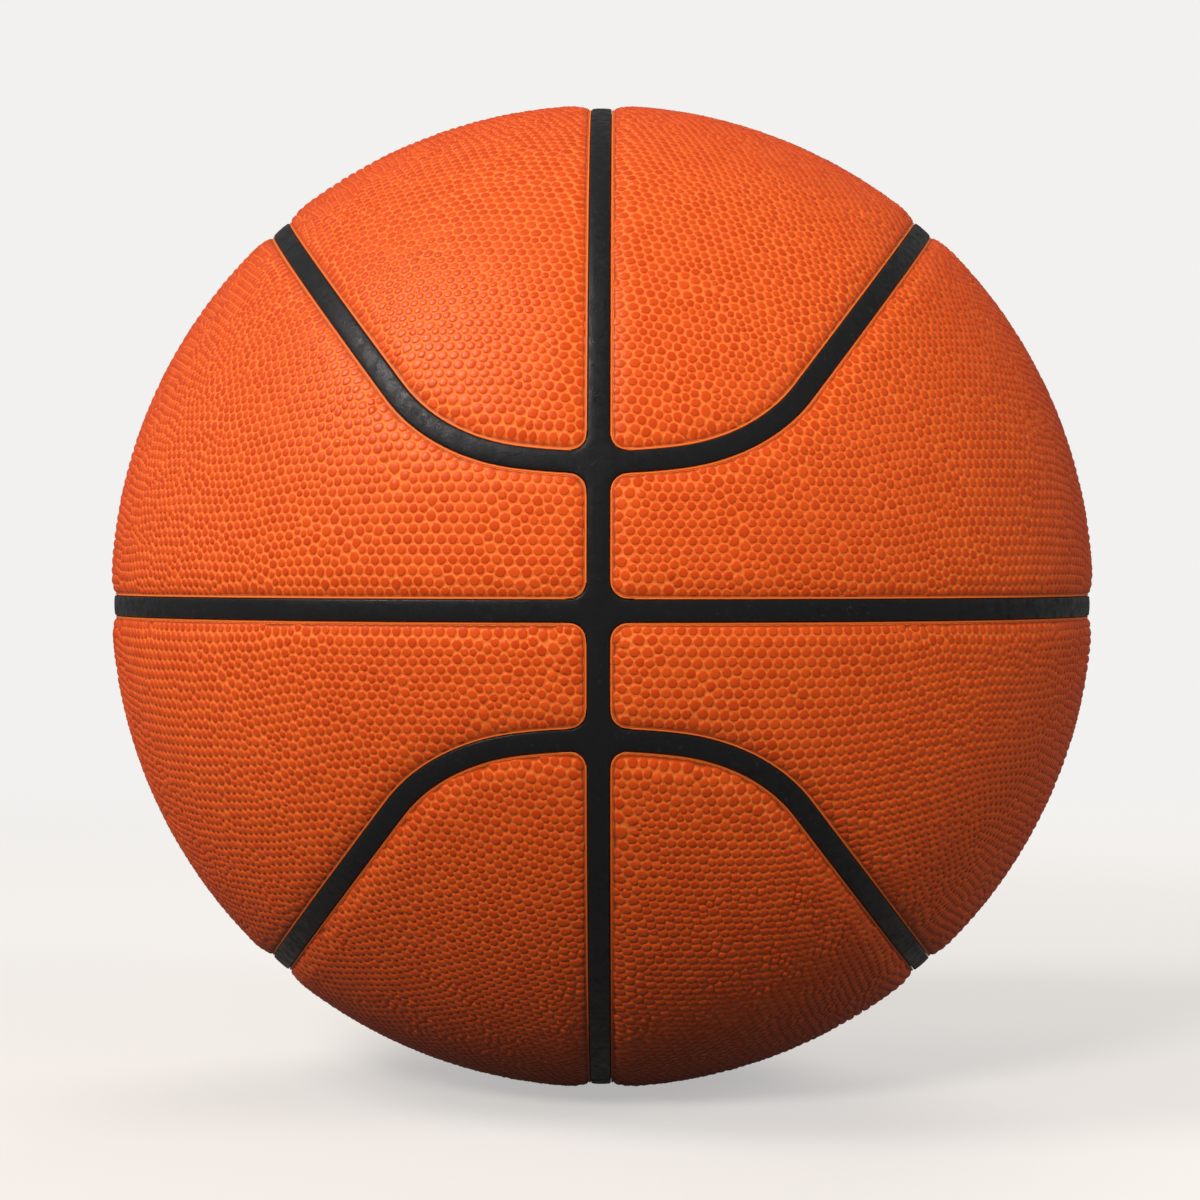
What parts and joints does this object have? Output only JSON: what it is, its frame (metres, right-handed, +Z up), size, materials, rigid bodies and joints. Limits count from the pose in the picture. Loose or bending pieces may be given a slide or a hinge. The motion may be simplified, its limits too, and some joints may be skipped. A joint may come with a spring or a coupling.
{
  "type": "basketball",
  "caption": "Indoor basketball: pebbled cover panels laid between raised black seam ribs on a hollow thread-wound ball, with bladder, needle valve and balance patch.",
  "frame": {"origin": "centre of the ball", "axes": "+Z up, through the middle of the two upper cap panels; -Y is the front, where the upright seam crosses the equator seam, which lies 2.1 mm below the middle; +X is the right-hand side; the valve is at the back"},
  "size_m": [0.2426, 0.242, 0.2424],
  "materials": {
    "pebbled_cover": "pebbled semi-matt",
    "foam_backing": "matt",
    "seam_rubber": "satin matt",
    "carcass_rubber": "matt",
    "winding_thread": "wound thread",
    "bladder_rubber": "satin",
    "boot_rubber": "matt",
    "plug_rubber": "satin",
    "patch_rubber": "matt"
  },
  "bodies": {
    "root": {"upper_cap_right_panel": "pebbled_cover", "upper_cap_left_panel": "pebbled_cover", "lower_cap_right_panel": "pebbled_cover", "lower_cap_left_panel": "pebbled_cover", "upper_band_right_panel": "pebbled_cover", "upper_band_left_panel": "pebbled_cover", "lower_band_right_panel": "pebbled_cover", "lower_band_left_panel": "pebbled_cover", "upper_cap_right_backing": "foam_backing", "upper_cap_left_backing": "foam_backing", "lower_cap_right_backing": "foam_backing", "lower_cap_left_backing": "foam_backing", "upper_band_right_backing": "foam_backing", "upper_band_left_backing": "foam_backing", "lower_band_right_backing": "foam_backing", "lower_band_left_backing": "foam_backing", "seam_ribs": "seam_rubber", "carcass": "carcass_rubber", "thread_winding": "winding_thread", "bladder": "bladder_rubber", "valve_boot": "boot_rubber", "valve_plug": "plug_rubber", "valve_patch": "patch_rubber", "balance_patch": "patch_rubber"}
  },
  "joints": []
}
